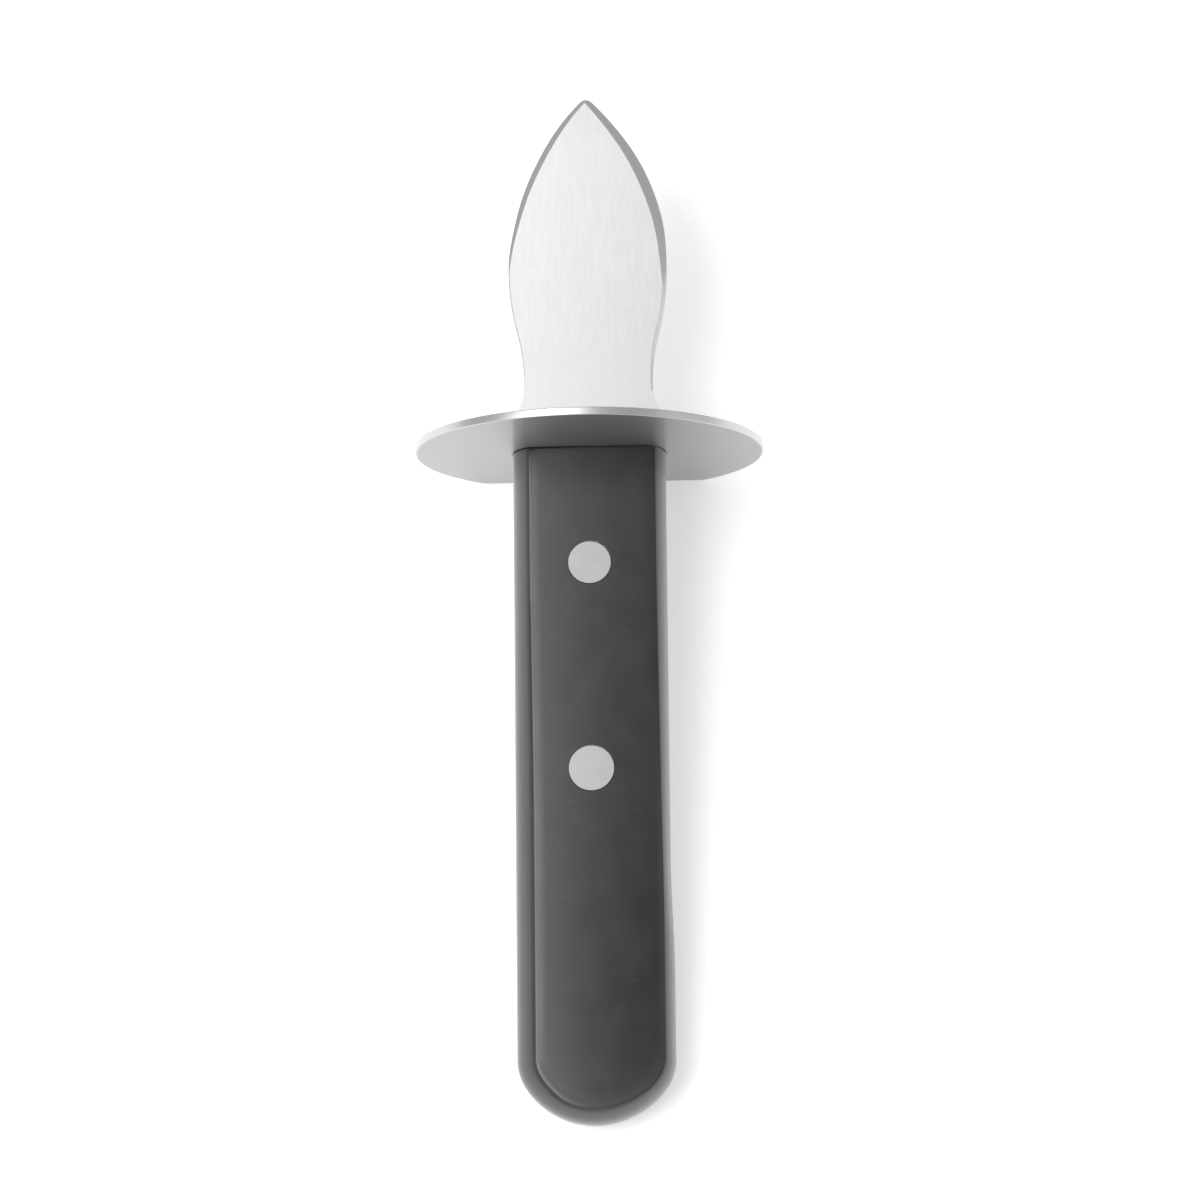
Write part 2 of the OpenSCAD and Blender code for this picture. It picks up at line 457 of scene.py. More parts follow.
class GuardSizes(bpy.types.PropertyGroup):
    """Sizes of the guard."""
    diameter: length_property("Diameter", "Width of the guard", 0.0524)
    thickness: length_property("Thickness", "Thickness of the sheet", 0.0012)
    flat_at: length_property("Flat", "From the middle to the flat", 0.0199)
    corner: length_property("Corner", "Rounding of the flat's corners", 0.002)
    edge_round: length_property("Edge rounding", "Rounding of the rim's edges", 0.00015)


class HandleSizes(bpy.types.PropertyGroup):
    """Sizes of the handle."""
    length: length_property("Length", "Length of the handle", 0.1014)
    width: length_property("Width", "Width of the handle", 0.023)
    thickness: length_property("Thickness", "Thickness at the crown", 0.01)
    side_radius: length_property("Side radius", "Radius of the rounded sides", 0.0062)
    crease: length_property("Crease height", "Height of the face's edge", 0.0046)
    roll: length_property("Roll", "Fall of the face towards its edge", 0.0001)
    butt_radius: length_property("Butt radius", "Radius of the butt", 0.0122)
    corner: length_property("Butt corner", "Rounding where the butt meets the sides", 0.008)
    front_round: length_property("Front rounding", "Rounding at the guard", 0.00035)
    lean: length_property("Lean", "How far the face lies off the middle", 0.0013)
    swell: length_property("Swell", "How far the right side swells at the butt", 0.00047)
    pocket_gap: length_property("Pocket gap", "Room round the tang", 0.0001)


class RivetSizes(bpy.types.PropertyGroup):
    """Sizes of the two rivets."""
    upper_at: length_property("Upper rivet", "From the guard to the upper rivet", 0.0177)
    lower_at: length_property("Lower rivet", "From the guard to the lower one", 0.0488)
    upper_head: length_property("Upper head", "Width of the upper heads", 0.0064)
    lower_head: length_property("Lower head", "Width of the lower heads", 0.00675)
    head_height: length_property("Head height", "Thickness of the heads", 0.0016)
    head_taper: length_property("Head taper", "How far a head narrows inside", 0.0002)
    barrel: length_property("Barrel", "Width of the socket's barrel", 0.0044)
    post: length_property("Post", "Width of the post", 0.003)
    ring_gap: length_property("Ring", "Dark gap round each head", 0.0001)


class KnifeFinish(bpy.types.PropertyGroup):
    """Colours and finishes of the knife's pieces."""
    blade_colour: colour_property("Blade", "Colour of the blade's steel", (0.69, 0.69, 0.69))
    blade_roughness: roughness_property("Blade roughness", "How soft the blade reflects", 0.3)
    guard_colour: colour_property("Guard", "Colour of the guard's steel", (0.435, 0.435, 0.435))
    guard_roughness: roughness_property("Guard roughness", "How soft the guard reflects", 0.455)
    rim_colour: colour_property("Rim", "Colour of the guard's polished rim", (0.6, 0.6, 0.6))
    rim_roughness: roughness_property("Rim roughness", "How soft the rim reflects", 0.33)
    handle_colour: colour_property("Handle", "Colour of the plastic", (0.01, 0.01, 0.0105))
    # Painted sheen for the rounded sides, standing in for their glancing reflection.
    painted_side_sheen: colour_property("Handle sides", "Colour of the ground sides", (0.08, 0.08, 0.081))
    handle_roughness: roughness_property("Handle roughness", "How satin the plastic is", 0.3)
    rivet_colour: colour_property("Rivets", "Colour of the rivets", (0.445, 0.445, 0.445))
    rivet_roughness: roughness_property("Rivet roughness", "How soft they reflect", 0.28)


class KnifeStage(bpy.types.PropertyGroup):
    """The floor, the lamps and the camera."""
    floor_size: bpy.props.FloatProperty(
        name="Floor", description="Width of the floor", default=6.0, unit="LENGTH")
    floor_colour: colour_property("Floor colour", "Colour of the floor", (0.82, 0.82, 0.82))
    floor_lift: bpy.props.FloatProperty(
        name="Floor white", description="Strength that whitens the floor to the camera",
        default=0.44)
    world_strength: bpy.props.FloatProperty(
        name="Room light", description="Strength of the light from all round", default=0.47)
    key_power: bpy.props.FloatProperty(
        name="Key lamp", description="Power of the wide lamp at the left", default=10.3,
        unit="POWER")
    key_width: bpy.props.FloatProperty(
        name="Key lamp width", description="Width across the knife", default=0.75,
        unit="LENGTH")
    key_length: bpy.props.FloatProperty(
        name="Key lamp length", description="Length along the knife", default=0.75,
        unit="LENGTH")
    small_power: bpy.props.FloatProperty(
        name="Small lamp", description="Power of the small lamp above", default=0.65,
        unit="POWER")
    small_width: bpy.props.FloatProperty(
        name="Small lamp width", description="Width across the knife", default=0.4,
        unit="LENGTH")
    small_length: bpy.props.FloatProperty(
        name="Small lamp length", description="Length along the knife", default=0.4,
        unit="LENGTH")
    side_power: bpy.props.FloatProperty(
        name="Side lamp", description="Power of the weak lamp at the right", default=0.8,
        unit="POWER")
    side_width: bpy.props.FloatProperty(
        name="Side lamp width", description="Width across the knife", default=0.5,
        unit="LENGTH")
    side_length: bpy.props.FloatProperty(
        name="Side lamp length", description="Length along the knife", default=0.9,
        unit="LENGTH")
    camera_distance: bpy.props.FloatProperty(
        name="Camera distance", description="From the camera to what it looks at",
        default=0.8, unit="LENGTH")
    camera_lens: bpy.props.FloatProperty(
        name="Lens", description="Focal length on a 36 mm sensor", default=160.0,
        unit="CAMERA")


def finishes():
    return bpy.context.scene.knife_finish


def stage_settings():
    return bpy.context.scene.knife_stage


# ---- the blade

def blade_outline(size):
    """Half widths and places of the blade's right edge, from the guard to the point."""
    leaf_x = size.edge_radius - size.width / 2
    rise = math.sqrt((size.edge_radius - size.tip_radius) ** 2 - leaf_x ** 2)
    tip_y = size.widest_at + rise
    waist_reach = leaf_x + size.neck / 2
    below = size.widest_at - size.neck_at
    waist_radius = ((waist_reach ** 2 + below ** 2 - size.edge_radius ** 2)
                    / (2 * (size.edge_radius - waist_reach)))
    waist_x = size.neck / 2 + waist_radius
    join = math.atan2(below, waist_x + leaf_x)
    flare_x = size.neck / 2 + size.root_radius
    flare = math.acos((flare_x - size.root / 2) / size.root_radius)
    touch = math.atan2(rise, leaf_x)
    outline = []
    for step in range(13):
        turn = flare * (step / 12 - 1)
        outline.append((flare_x - size.root_radius * math.cos(turn),
                        size.neck_at + size.root_radius * math.sin(turn)))
    for step in range(1, 13):
        turn = join * step / 12
        outline.append((waist_x - waist_radius * math.cos(turn),
                        size.neck_at + waist_radius * math.sin(turn)))
    for step in range(1, 49):
        turn = (touch + join) * step / 48 - join
        outline.append((size.edge_radius * math.cos(turn) - leaf_x,
                        size.widest_at + size.edge_radius * math.sin(turn)))
    for step in range(1, 9):
        turn = touch + (math.pi / 2 - touch) * step / 8
        outline.append((size.tip_radius * math.cos(turn),
                        tip_y + size.tip_radius * math.sin(turn)))
    return outline


def draw_blade_plate(size):
    """A flat plate with the blade's outline, without its tang."""
    outline = blade_outline(size)
    guard = bpy.context.scene.knife_guard.thickness
    first = outline[0][1]
    select_none()
    bpy.ops.mesh.primitive_plane_add(size=1)
    blade = bpy.context.object
    blade.name = "leaf_blade"
    open_up(blade)
    stretch_about((0, 0, 0), (size.root, first - guard, 1))
    bpy.ops.transform.translate(value=(0, (first + guard) / 2, 0))
    pick_edges(blade, lambda a, b: min(a.y, b.y) > first - FINE)
    width, place = outline[0]
    for half, y in outline[1:]:
        extrude_by((0, y - place, 0))
        stretch_about((0, y, 0), (max(half, FINE) / width, 1, 1))
        width, place = max(half, FINE), y
    bpy.ops.mesh.merge(type="CENTER")
    close_up()
    apply_modifier(blade, "SOLIDIFY", thickness=size.thickness, offset=0)
    open_up(blade)
    faces_outwards()
    close_up()
    return blade


def half_width_at(size, wanted):
    """The blade's half width at a place between the root and the point."""
    outline = blade_outline(size)
    for (x, y), (next_x, next_y) in zip(outline, outline[1:]):
        if y <= wanted <= next_y:
            return x + (next_x - x) * (wanted - y) / (next_y - y)
    raise ValueError("the blade has no width there")


def edge_point(size, y, inset):
    """The place on the right cutting edge at the height y, moved in by inset."""
    turn = math.asin((y - size.widest_at) / size.edge_radius)
    leaf_x = size.edge_radius - size.width / 2
    reach = size.edge_radius - inset
    return Vector((reach * math.cos(turn) - leaf_x, size.widest_at + reach * math.sin(turn)))


def circle_through(p, q, r):
    """Centre and radius of the circle through three points."""
    a, b = q - p, r - p
    across = 2 * (a.x * b.y - a.y * b.x)
    centre = p + Vector((b.y * a.dot(a) - a.y * b.dot(b),
                         a.x * b.dot(b) - b.x * a.dot(a))) / across
    return centre, (p - centre).length


def bevel_wheel(size, bevel, at_tip, end, side):
    """The ring with a V-shaped groove that takes the bevels off one side of the blade."""
    tip_y = blade_outline(size)[-1][1] - size.tip_radius
    low = Vector((half_width_at(size, end), end))
    middle = edge_point(size, size.widest_at + 0.006, bevel)
    high = edge_point(size, tip_y, at_tip)
    centre, ridge = circle_through(low, middle, high)
    half = size.thickness / 2
    run = half / math.tan(size.bevel_slope)
    past, rim = 0.4, 0.006
    inner, outer = ridge - past * run, ridge + rim
    height = 2 * half * (1 + past)
    start = math.asin((end - 0.001 - centre.y) / ridge)
    stop = math.acos((-0.003 - centre.x) / ridge)
    select_none()
    bpy.ops.mesh.primitive_plane_add(size=1, rotation=(math.pi / 2, 0, 0))
    wheel = bpy.context.object
    wheel.name = "bevel_wheel"
    bpy.ops.object.transform_apply(location=False, rotation=True, scale=False)
    open_up(wheel)
    stretch_about((0, 0, 0), (outer - inner, 1, height))
    bpy.ops.transform.translate(value=((inner + outer) / 2, 0, 0))
    pick_edges(wheel, lambda a, b: max(a.x, b.x) < inner + FINE)
    bpy.ops.mesh.subdivide(number_cuts=1)
    pick_points(wheel, lambda point: abs(point.z) < FINE and point.x < inner + FINE)
    bpy.ops.transform.translate(value=((1 + past) * run, 0, 0))
    bpy.ops.mesh.select_all(action="SELECT")
    bpy.ops.transform.rotate(value=-start, orient_axis="Z", center_override=(0, 0, 0))
    bpy.ops.mesh.spin(steps=96, angle=start - stop, center=(0, 0, 0), axis=(0, 0, 1))
    bpy.ops.mesh.select_all(action="SELECT")
    bpy.ops.transform.translate(value=(centre.x, centre.y, 0))
    faces_outwards()
    close_up()
    if side < 0:
        wheel.scale.x = -1
        select_only(wheel)
        bpy.ops.object.transform_apply(location=False, rotation=False, scale=True)
        open_up(wheel)
        faces_outwards()
        close_up()
    return wheel


def eased(value, start, stop):
    """0 before start and 1 past stop, with a soft rise between them."""
    share = min(1, max(0, (value - start) / (stop - start)))
    return share * share * (3 - 2 * share)


def swing_leaf(blade, size):
    """Swings the leaf a little to the right between its widest place and its point."""
    swing = blade.vertex_groups.new(name="swing")
    for point in blade.data.vertices:
        y = point.co.y
        share = eased(y, size.widest_at, 0.037) * eased(y, 0.0545, 0.044)
        swing.add([point.index], share, "REPLACE")
    apply_modifier(blade, "DISPLACE", direction="X", mid_level=0, strength=size.swing,
                   vertex_group="swing")
    blade.vertex_groups.clear()


def join_flat_faces(piece):
    """Joins faces that lie in one plane."""
    open_up(piece)
    bpy.ops.mesh.dissolve_limited(angle_limit=math.radians(0.2))
    close_up()


def add_tang(blade, size):
    """Runs the tang back from the middle of the root, to its round end."""
    guard = bpy.context.scene.knife_guard.thickness
    half = size.tang / 2
    open_up(blade)
    for side in (-1, 1):
        pick_faces(blade, lambda middle, normal: middle.y < size.neck_at - size.root_radius)
        bpy.ops.mesh.bisect(plane_co=(side * half, 0, 0), plane_no=(1, 0, 0),
                            threshold=FINE)
    pick_faces(blade, lambda middle, normal: normal.y < -0.9 and abs(middle.x) < half)
    extrude_by((0, half - size.tang_length - guard, 0))
    width, place = half, half - size.tang_length
    for step in range(1, 12):
        turn = math.radians(7.5) * step
        y = half - size.tang_length - half * math.sin(turn)
        extrude_by((0, y - place, 0))
        stretch_about((0, y, 0), (half * math.cos(turn) / width, 1, 1))
        width, place = half * math.cos(turn), y
    faces_outwards()
    close_up()


def bevel_waist(blade, size):
    """Runs a narrow bevel along the waist, from the root up into the wide bevels' place."""
    half = size.thickness / 2
    fade = 0.0045
    low = size.neck_at - 0.0008
    high = size.widest_at + 0.001
    soft = blade.data.attributes.new("bevel_weight_edge", "FLOAT", "EDGE")
    mesh = bmesh.new()
    mesh.from_mesh(blade.data)
    mesh.edges.ensure_lookup_table()
    weights = []
    for edge in mesh.edges:
        a, b = edge.verts[0].co, edge.verts[1].co
        y = (a.y + b.y) / 2
        level = abs(abs(a.z) - half) < FINE and abs(abs(b.z) - half) < FINE
        corner = len(edge.link_faces) == 2 and edge.calc_face_angle() > 1
        wanted = level and corner and low < y < high
        share = 1 if a.x > 0 else size.left_waist_bevel / size.waist_bevel
        weights.append(share * min(1, (y - low) / fade) if wanted else 0)
    mesh.free()
    soft.data.foreach_set("value", weights)
    apply_modifier(blade, "BEVEL", width=size.waist_bevel, segments=1,
                   limit_method="WEIGHT", use_clamp_overlap=False)
    blade.data.attributes.remove(blade.data.attributes["bevel_weight_edge"])
    open_up(blade)
    faces_outwards()
    close_up()


# ---- the guard

def stamp_guard(size, blade, gap):
    """A disc cut straight below, with rounded edges and the slot for the tang."""
    radius = size.diameter / 2
    thickness = size.thickness
    corner_z = size.corner - size.flat_at
    corner_x = math.sqrt((radius - size.corner) ** 2 - corner_z ** 2)
    below = math.atan2(-corner_z, corner_x)
    select_none()
    bpy.ops.mesh.primitive_plane_add(size=thickness, location=(0, 0, 0))
    guard = bpy.context.object
    guard.name = "round_guard"
    open_up(guard)
    pick_points(guard, lambda point: point.x < 0)
    bpy.ops.mesh.delete(type="VERT")
    bpy.ops.mesh.select_all(action="SELECT")
    bpy.ops.transform.translate(value=(-thickness / 2, thickness / 2, radius))
    bpy.ops.mesh.spin(steps=112, angle=-math.pi / 2 - below, center=(0, 0, 0),
                      axis=(0, 1, 0))
    bpy.ops.mesh.spin(steps=8, angle=below - math.pi / 2, center=(corner_x, 0, corner_z),
                      axis=(0, 1, 0))
    extrude_by((-corner_x, 0, 0))
    close_up()
    apply_modifier(guard, "MIRROR", use_axis=(True, False, False), merge_threshold=FINE)
    open_up(guard)
    for face_y in (0, thickness):
        pick_edges(guard, lambda a, b: max(abs(a.y - face_y), abs(b.y - face_y)) < FINE)
        bpy.ops.mesh.edge_face_add()
    faces_outwards()
    pick_edges(guard, lambda a, b: abs(a.y - b.y) < FINE)
    bpy.ops.mesh.bevel(offset=size.edge_round, segments=3, clamp_overlap=True)
    close_up()
    select_none()
    bpy.ops.mesh.primitive_cube_add(size=1)
    slot = bpy.context.object
    open_up(slot)
    stretch_about((0, 0, 0), (blade.tang + 2 * gap, 4 * thickness,
                              blade.thickness + 2 * gap))
    close_up()
    cut_with(guard, slot)
    return guard


# ---- the handle

def side_profile(size, steps):
    """Insets and heights up the rounded side, from the middle to the face's edge."""
    radius = size.side_radius
    profile = []
    for step in range(1, steps + 1):
        z = size.crease * step / steps
        profile.append((radius - math.sqrt(radius ** 2 - z ** 2), z))
    return profile


def face_profile(size, edge):
    """Insets and heights where the face rolls off towards its edge."""
    soft = 0.0003
    return [(edge + s, size.crease + size.roll * (1 - math.exp(-s / soft)))
            for s in (0.0001, 0.0002, 0.00035, 0.0006, 0.001)]


def shape_half_handle(size):
    """The handle's upper half: its outline, raised ring by ring to the face."""
    half = size.width / 2
    butt = size.butt_radius - size.length
    past = 0.014
    rows = 40
    select_none()
    bpy.ops.mesh.primitive_circle_add(vertices=96, radius=size.butt_radius,
                                      fill_type="NGON")
    handle = bpy.context.object
    handle.name = "handle_block"
    open_up(handle)
    slice_off((half, 0, 0), (1, 0, 0))
    slice_off((-half, 0, 0), (-1, 0, 0))
    slice_off((0, 0, 0), (0, 1, 0))
    soften_corners(size)
    bpy.ops.mesh.select_all(action="SELECT")
    bpy.ops.transform.translate(value=(0, butt, 0))
    pick_edges(handle, lambda a, b: min(a.y, b.y) > butt - FINE)
    for row in range(rows):
        extrude_by((0, (past - butt) / rows, 0))
    bpy.ops.mesh.select_all(action="SELECT")
    bpy.ops.mesh.normals_make_consistent(inside=False)
    mesh = bmesh.from_edit_mesh(handle.data)
    if sum(face.normal.z for face in mesh.faces) < 0:
        bpy.ops.mesh.flip_normals()
    side = side_profile(size, 12)
    inset, height = 0, 0
    for next_inset, next_height in side + face_profile(size, side[-1][0]):
        bpy.ops.mesh.inset(thickness=next_inset - inset, depth=next_height - height,
                           use_even_offset=True, use_boundary=True)
        inset, height = next_inset, next_height
    for place, direction in face_lines(half - inset, butt):
        pick_faces(handle, lambda middle, normal: middle.z > height - FINE)
        bpy.ops.mesh.bisect(plane_co=place, plane_no=direction, threshold=FINE)
    slice_off((0, 0, 0), (0, 1, 0))
    close_up()
    return handle


def soften_corners(size):
    """Planes off the corners between the butt's arc and the straight sides."""
    x = size.width / 2 - size.corner
    y = math.sqrt((size.butt_radius - size.corner) ** 2 - x ** 2)
    steps = 7
    for step in range(1, steps):
        turn = math.atan2(y, x) * step / steps
        for side in (-1, 1):
            direction = Vector((side * math.cos(turn), -math.sin(turn), 0))
            slice_off(Vector((side * x, -y, 0)) + size.corner * direction, direction)


def face_lines(reach, butt):
    """Planes that divide the face into short strips, so that it can be crowned."""
    pitch = 0.0011
    lines = [((pitch * step, 0, 0), (1, 0, 0))
             for step in range(-int(reach / pitch), int(reach / pitch) + 1)]
    lines += [((0, butt - 0.0018 * step, 0), (0, 1, 0)) for step in range(6)]
    return lines


def crown_face(handle, size):
    """Raises the middle of the face, leans it to one side, and swells the side at the butt."""
    butt = size.butt_radius - size.length
    half = size.width / 2
    top = size.crease + size.roll * 0.9
    rise = size.thickness / 2 - size.crease - size.roll
    crown = handle.vertex_groups.new(name="crown")
    lean = handle.vertex_groups.new(name="lean")
    swell = handle.vertex_groups.new(name="swell")
    for point in handle.data.vertices:
        x, y, z = point.co
        reach = math.hypot(x, y - butt) if y < butt else abs(x)
        if z > top:
            crown.add([point.index], max(0, 1 - (reach / (half - 0.0023)) ** 2), "REPLACE")
        share = 0.39 + 0.26 * eased(y, -0.015, -0.06)
        share += 0.2 * eased(y, -0.045, -0.075) * eased(x, 0, 0.009)
        level = min(1, (z / size.crease) ** 2)
        share *= (z / size.crease) ** 2
        end = min(1, max(0, (size.length + y) / 0.005))
        lean.add([point.index], min(1, share) * end, "REPLACE")
        out = eased(y, -0.062, -0.079) * eased(x, 0.004, 0.0115) * (1 - level)
        swell.add([point.index], out, "REPLACE")
    apply_modifier(handle, "DISPLACE", direction="Z", mid_level=0, strength=rise,
                   vertex_group="crown")
    apply_modifier(handle, "DISPLACE", direction="X", mid_level=0, strength=size.lean,
                   vertex_group="lean")
    apply_modifier(handle, "DISPLACE", direction="X", mid_level=0, strength=size.swell,
                   vertex_group="swell")
    handle.vertex_groups.clear()


def seat_butt(handle, size):
    """Flattens the back towards the butt, until its edge touches the table."""
    drop = 0.0004
    seat = handle.vertex_groups.new(name="seat")
    for point in handle.data.vertices:
        x, y, z = point.co
        if z < 0:
            room = min(1, max(0, (size.thickness / 2 + z) / drop))
            share = room * (z / size.crease) ** 2 * eased(y, -0.082, -0.096)
            seat.add([point.index], min(1, share), "REPLACE")
    apply_modifier(handle, "DISPLACE", direction="Z", mid_level=0, strength=-drop,
                   vertex_group="seat")
    handle.vertex_groups.clear()


def close_handle(handle, size):
    """Mirrors the upper half down, closes the front and rounds its edge."""
    apply_modifier(handle, "MIRROR", use_axis=(False, False, True), merge_threshold=FINE)
    open_up(handle)
    pick_edges(handle, lambda a, b: a.y > -FINE and b.y > -FINE)
    bpy.ops.mesh.edge_face_add()
    faces_outwards()
    pick_edges(handle, lambda a, b: a.y > -FINE and b.y > -FINE)
    bpy.ops.mesh.bevel(offset=size.front_round, segments=3, clamp_overlap=True)
    close_up()


def cut_pocket(handle, size, blade):
    """Cuts the pocket for the tang into the front."""
    half = blade.tang / 2 + size.pocket_gap
    end = half - blade.tang_length - size.pocket_gap
    height = blade.thickness + 2 * size.pocket_gap
    select_none()
    bpy.ops.mesh.primitive_circle_add(vertices=48, radius=half, fill_type="NGON")
    tool = bpy.context.object
    open_up(tool)
    slice_off((0, 0, 0), (0, 1, 0))
    bpy.ops.mesh.select_all(action="SELECT")
    bpy.ops.transform.translate(value=(0, end, -height / 2))
    pick_edges(tool, lambda a, b: min(a.y, b.y) > end - FINE)
    extrude_by((0, 0.001 - end, 0))
    bpy.ops.mesh.select_all(action="SELECT")
    extrude_by((0, 0, height))
    faces_outwards()
    close_up()
    cut_with(handle, tool)


def bore_handle(handle, size, rivets):
    """Bores the stepped holes that the rivets sit in."""
    half = size.thickness / 2
    for place, head in ((rivets.upper_at, rivets.upper_head),
                        (rivets.lower_at, rivets.lower_head)):
        cut_with(handle, drill(place, rivets.barrel + rivets.ring_gap))
        for side in (-1, 1):
            tool = drill(place, head + 2 * rivets.ring_gap, rivets.head_height * 2,
                         side * half)
            cut_with(handle, tool)


# ---- the rivets

def rivet_places(rivets):
    return rivets.upper_at, rivets.lower_at


def drill(place, width, depth=0.02, z=0):
    """A cylinder across the knife, to cut a hole with."""
    select_none()
    bpy.ops.mesh.primitive_cylinder_add(vertices=96, radius=width / 2, depth=depth,
                                        location=(0, -place, z))
    tool = bpy.context.object
    bpy.ops.object.transform_apply(location=True, rotation=True, scale=True)
    return tool


def turn_head(name, place, width, half, size):
    """A rivet's front head, domed a hair, and open to be carried on from inside."""
    select_none()
    bpy.ops.mesh.primitive_cylinder_add(
        vertices=96, radius=width / 2, depth=size.head_height,
        location=(0, -place, half - size.head_height / 2))
    head = bpy.context.object
    head.name = name
    bpy.ops.object.transform_apply(location=True, rotation=True, scale=True)
    open_up(head)
    inner = half - size.head_height + FINE
    taper = 1 - 2 * size.head_taper / width
    pick_faces(head, lambda middle, normal: normal.z < -0.9)
    stretch_about((0, -place, 0), (taper, taper, 1))
    pick_faces(head, lambda middle, normal: normal.z > 0.9)
    bpy.ops.transform.translate(value=(0, 0, -0.00003))
    bpy.ops.mesh.inset(thickness=0.00003, depth=0.00003)
    pick_faces(head, lambda middle, normal: normal.z < -0.9 and middle.z < inner)
    return head


def turn_post(name, place, width, half, size):
    """The half whose post shows its head on the front face."""
    post = turn_head(name, place, width, half, size)
    narrow = width / 2 - size.head_taper
    bpy.ops.mesh.inset(thickness=narrow - size.post / 2, depth=0)
    extrude_by((0, 0, 0.0014 + size.head_height - 2 * half))
    bpy.ops.mesh.bevel(offset=0.0002, segments=2)
    faces_outwards()
    close_up()
    smooth_faces(post, 35)
    return post


def turn_socket(name, place, width, half, size):
    """The half whose barrel takes the post, with its head on the back face."""
    socket = turn_head(name, place, width, half, size)
    narrow = width / 2 - size.head_taper
    bpy.ops.mesh.inset(thickness=narrow - size.barrel / 2, depth=0)
    extrude_by((0, 0, -(2 * half - 2 * size.head_height - 0.0008)))
    bpy.ops.mesh.inset(thickness=(size.barrel - size.post) / 2, depth=0)
    extrude_by((0, 0, 2 * half - size.head_height - 0.0016))
    bpy.ops.mesh.select_all(action="SELECT")
    bpy.ops.transform.resize(value=(1, 1, -1), center_override=(0, 0, 0))
    faces_outwards()
    close_up()
    smooth_faces(socket, 35)
    return socket


# ---- operators

class KNIFE_OT_blade(bpy.types.Operator):
    """Model the blade and its tang"""
    bl_idname = "knife.blade"
    bl_label = "Blade"

    def execute(self, context):
        size = context.scene.knife_blade
        look = finishes()
        blade = draw_blade_plate(size)
        bevel_waist(blade, size)
        cut_with(blade, bevel_wheel(size, size.bevel, size.bevel_at_tip, size.bevel_end, 1))
        cut_with(blade, bevel_wheel(size, size.narrow_bevel, size.narrow_bevel_at_tip,
                                    size.narrow_bevel_end, -1))
        join_flat_faces(blade)
        swing_leaf(blade, size)
        add_tang(blade, size)
        for place in rivet_places(context.scene.knife_rivets):
            cut_with(blade, drill(place, context.scene.knife_rivets.barrel))
        smooth_faces(blade, 30)
        hand_over(blade, "blade",
                  brushed_steel(look.blade_colour, look.blade_roughness, size.thickness))
        return {"FINISHED"}


class KNIFE_OT_guard(bpy.types.Operator):
    """Model the round guard"""
    bl_idname = "knife.guard"
    bl_label = "Guard"

    def execute(self, context):
        look = finishes()
        size = context.scene.knife_guard
        handle = context.scene.knife_handle
        guard = stamp_guard(size, context.scene.knife_blade, handle.pocket_gap)
        smooth_faces(guard, 40)
        steel = polished_steel(look.guard_colour, look.rim_colour, look.guard_roughness,
                               look.rim_roughness, size, handle)
        hand_over(guard, "guard", steel)
        return {"FINISHED"}


class KNIFE_OT_handle(bpy.types.Operator):
    """Model the handle, with its pocket and its rivet holes"""
    bl_idname = "knife.handle"
    bl_label = "Handle"

    def execute(self, context):
        look = finishes()
        size = context.scene.knife_handle
        handle = shape_half_handle(size)
        crown_face(handle, size)
        close_handle(handle, size)
        seat_butt(handle, size)
        cut_pocket(handle, size, context.scene.knife_blade)
        bore_handle(handle, size, context.scene.knife_rivets)
        smooth_faces(handle, 24)
        hand_over(handle, "handle",
                  satin_plastic(look.handle_colour, look.painted_side_sheen,
                               look.handle_roughness, size.crease))
        return {"FINISHED"}


class KNIFE_OT_rivets(bpy.types.Operator):
    """Model the two halves of both rivets"""
    bl_idname = "knife.rivets"
    bl_label = "Rivets"

    def execute(self, context):
        look = finishes()
        metal = rivet_metal(look.rivet_colour, look.rivet_roughness)
        size = context.scene.knife_rivets
        half = context.scene.knife_handle.thickness / 2
        for name, place, head in (("upper", size.upper_at, size.upper_head),
                                  ("lower", size.lower_at, size.lower_head)):
            post = turn_post(name + "_post", place, head, half, size)
            hand_over(post, name + "_rivet_post", metal)
            socket = turn_socket(name + "_socket", place, head, half, size)
            hand_over(socket, name + "_rivet_socket", metal)
        return {"FINISHED"}


class KNIFE_OT_stage(bpy.types.Operator):
    """Lay the floor, hang the lamps and set up the camera"""
    bl_idname = "knife.stage"
    bl_label = "Stage"

    def execute(self, context):
        settings = stage_settings()
        lay_floor(settings)
        light_room(settings)
        hang_lamp("key_lamp", (-0.535, -0.223, 1.05), settings.key_width,
                  settings.key_length, settings.key_power)
        hang_lamp("small_lamp", (-0.247, 0.163, 1.163), settings.small_width,
                  settings.small_length, settings.small_power)
        hang_lamp("side_lamp", (1.088, 0, 0.507), settings.side_width,
                  settings.side_length, settings.side_power)
        place_camera(settings)
        return {"FINISHED"}


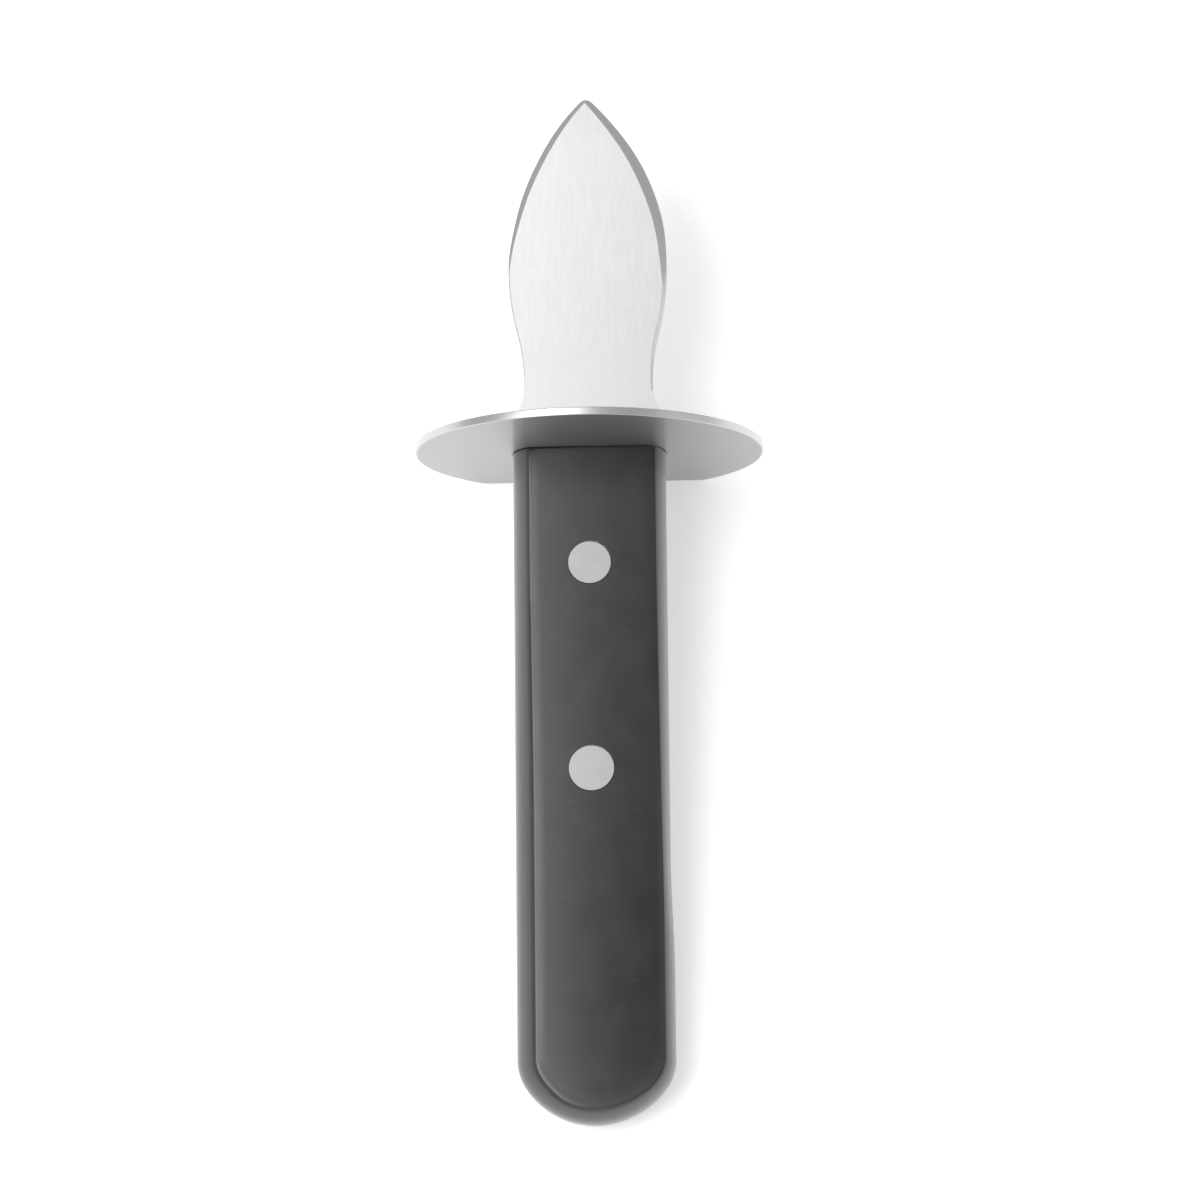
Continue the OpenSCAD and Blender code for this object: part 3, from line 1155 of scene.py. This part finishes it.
def lay_floor(settings):
    """A pale floor, a little whiter to the camera and to what reflects it."""
    bpy.ops.object.select_all(action="DESELECT")
    bpy.ops.mesh.primitive_plane_add(size=settings.floor_size, location=(0, 0, 0))
    floor = bpy.context.object
    floor.name = "floor"
    material = bpy.data.materials.new("pale_floor")
    material.use_nodes = True
    tree = material.node_tree
    tree.nodes.remove(tree.nodes["Principled BSDF"])
    output = tree.nodes["Material Output"]
    matt = tree.nodes.new("ShaderNodeBsdfDiffuse")
    matt.inputs["Color"].default_value = (*settings.floor_colour, 1)
    glow = tree.nodes.new("ShaderNodeEmission")
    path = tree.nodes.new("ShaderNodeLightPath")
    seen = tree.nodes.new("ShaderNodeMath")
    seen.operation = "ADD"
    seen.use_clamp = True
    strength = tree.nodes.new("ShaderNodeMath")
    strength.operation = "MULTIPLY"
    strength.inputs[1].default_value = settings.floor_lift
    both = tree.nodes.new("ShaderNodeAddShader")
    tree.links.new(path.outputs["Is Camera Ray"], seen.inputs[0])
    tree.links.new(path.outputs["Is Glossy Ray"], seen.inputs[1])
    tree.links.new(seen.outputs["Value"], strength.inputs[0])
    tree.links.new(strength.outputs["Value"], glow.inputs["Strength"])
    tree.links.new(matt.outputs["BSDF"], both.inputs[0])
    tree.links.new(glow.outputs["Emission"], both.inputs[1])
    tree.links.new(both.outputs["Shader"], output.inputs["Surface"])
    floor.data.materials.append(material)


def light_room(settings):
    """Even light from all round, white to the camera."""
    world = bpy.data.worlds.new("plain_room")
    world.use_nodes = True
    bpy.context.scene.world = world
    tree = world.node_tree
    room = tree.nodes["Background"]
    room.inputs["Strength"].default_value = settings.world_strength
    white = tree.nodes.new("ShaderNodeBackground")
    room.inputs["Color"].default_value = (1, 1, 1, 1)
    white.inputs["Color"].default_value = (1, 1, 1, 1)
    white.inputs["Strength"].default_value = 1
    path = tree.nodes.new("ShaderNodeLightPath")
    mix = tree.nodes.new("ShaderNodeMixShader")
    tree.links.new(path.outputs["Is Camera Ray"], mix.inputs["Fac"])
    tree.links.new(room.outputs["Background"], mix.inputs[1])
    tree.links.new(white.outputs["Background"], mix.inputs[2])
    tree.links.new(mix.outputs["Shader"], tree.nodes["World Output"].inputs["Surface"])


def hang_lamp(name, place, width, length, power):
    """A soft lamp that points at the knife."""
    light = bpy.data.lights.new(name, "AREA")
    light.shape = "RECTANGLE"
    light.size = width
    light.size_y = length
    light.energy = power
    lamp = bpy.data.objects.new(name, light)
    bpy.context.scene.collection.objects.link(lamp)
    lamp.location = place
    lamp.rotation_euler = (Vector(place)).to_track_quat("Z", "Y").to_euler()


def place_camera(settings):
    """The camera of the photograph: above the handle, turned and rolled a little."""
    tilt = math.radians(11.10)
    roll = math.radians(1.62)
    turn = math.radians(-0.57)
    target = Vector((0.00138, -0.0225, 0))
    up = Vector((0, math.cos(tilt), math.sin(tilt)))
    back = Vector((0, -math.sin(tilt), math.cos(tilt)))
    rolled = Matrix.Rotation(roll, 3, "Y")
    right = rolled @ Vector((1, 0, 0))
    up = rolled @ up
    back = rolled @ back
    turned_right = right * math.cos(turn) + up * math.sin(turn)
    turned_up = up * math.cos(turn) - right * math.sin(turn)
    level = Matrix((turned_right, turned_up, back)).transposed().to_4x4()
    level.translation = target + back * settings.camera_distance
    data = bpy.data.cameras.new("camera")
    data.lens = settings.camera_lens
    data.sensor_width = 36
    data.clip_start = 0.01
    camera = bpy.data.objects.new("camera", data)
    bpy.context.scene.collection.objects.link(camera)
    camera.matrix_world = knife_to_table() @ level
    bpy.context.scene.camera = camera


class KNIFE_PT_panel(bpy.types.Panel):
    """Lists the knife's pieces, its finishes and the stage."""
    bl_idname = "KNIFE_PT_panel"
    bl_label = "Oyster knife"
    bl_space_type = "VIEW_3D"
    bl_region_type = "UI"
    bl_category = "Oyster knife"

    def draw(self, context):
        column = self.layout.column()
        for operator in OPERATORS:
            column.operator(operator.bl_idname)
        for group_name in GROUPS:
            group = getattr(context.scene, group_name)
            for name in group.bl_rna.properties.keys():
                if name not in ("name", "rna_type"):
                    column.prop(group, name)


OPERATORS = (KNIFE_OT_stage, KNIFE_OT_blade, KNIFE_OT_guard, KNIFE_OT_handle, KNIFE_OT_rivets)
GROUPS = {"knife_blade": BladeSizes, "knife_guard": GuardSizes, "knife_handle": HandleSizes,
          "knife_rivets": RivetSizes, "knife_finish": KnifeFinish, "knife_stage": KnifeStage}
CLASSES = (*GROUPS.values(), *OPERATORS, KNIFE_PT_panel)


def register():
    for item in CLASSES:
        bpy.utils.register_class(item)
    for name, group in GROUPS.items():
        setattr(bpy.types.Scene, name, bpy.props.PointerProperty(type=group))


def unregister():
    for name in GROUPS:
        delattr(bpy.types.Scene, name)
    for item in reversed(CLASSES):
        bpy.utils.unregister_class(item)


def main():
    register()
    bpy.context.scene.view_settings.view_transform = "Standard"
    bpy.ops.knife.stage()
    bpy.ops.knife.blade()
    bpy.ops.knife.guard()
    bpy.ops.knife.handle()
    bpy.ops.knife.rivets()


if __name__ == "__main__":
    main()
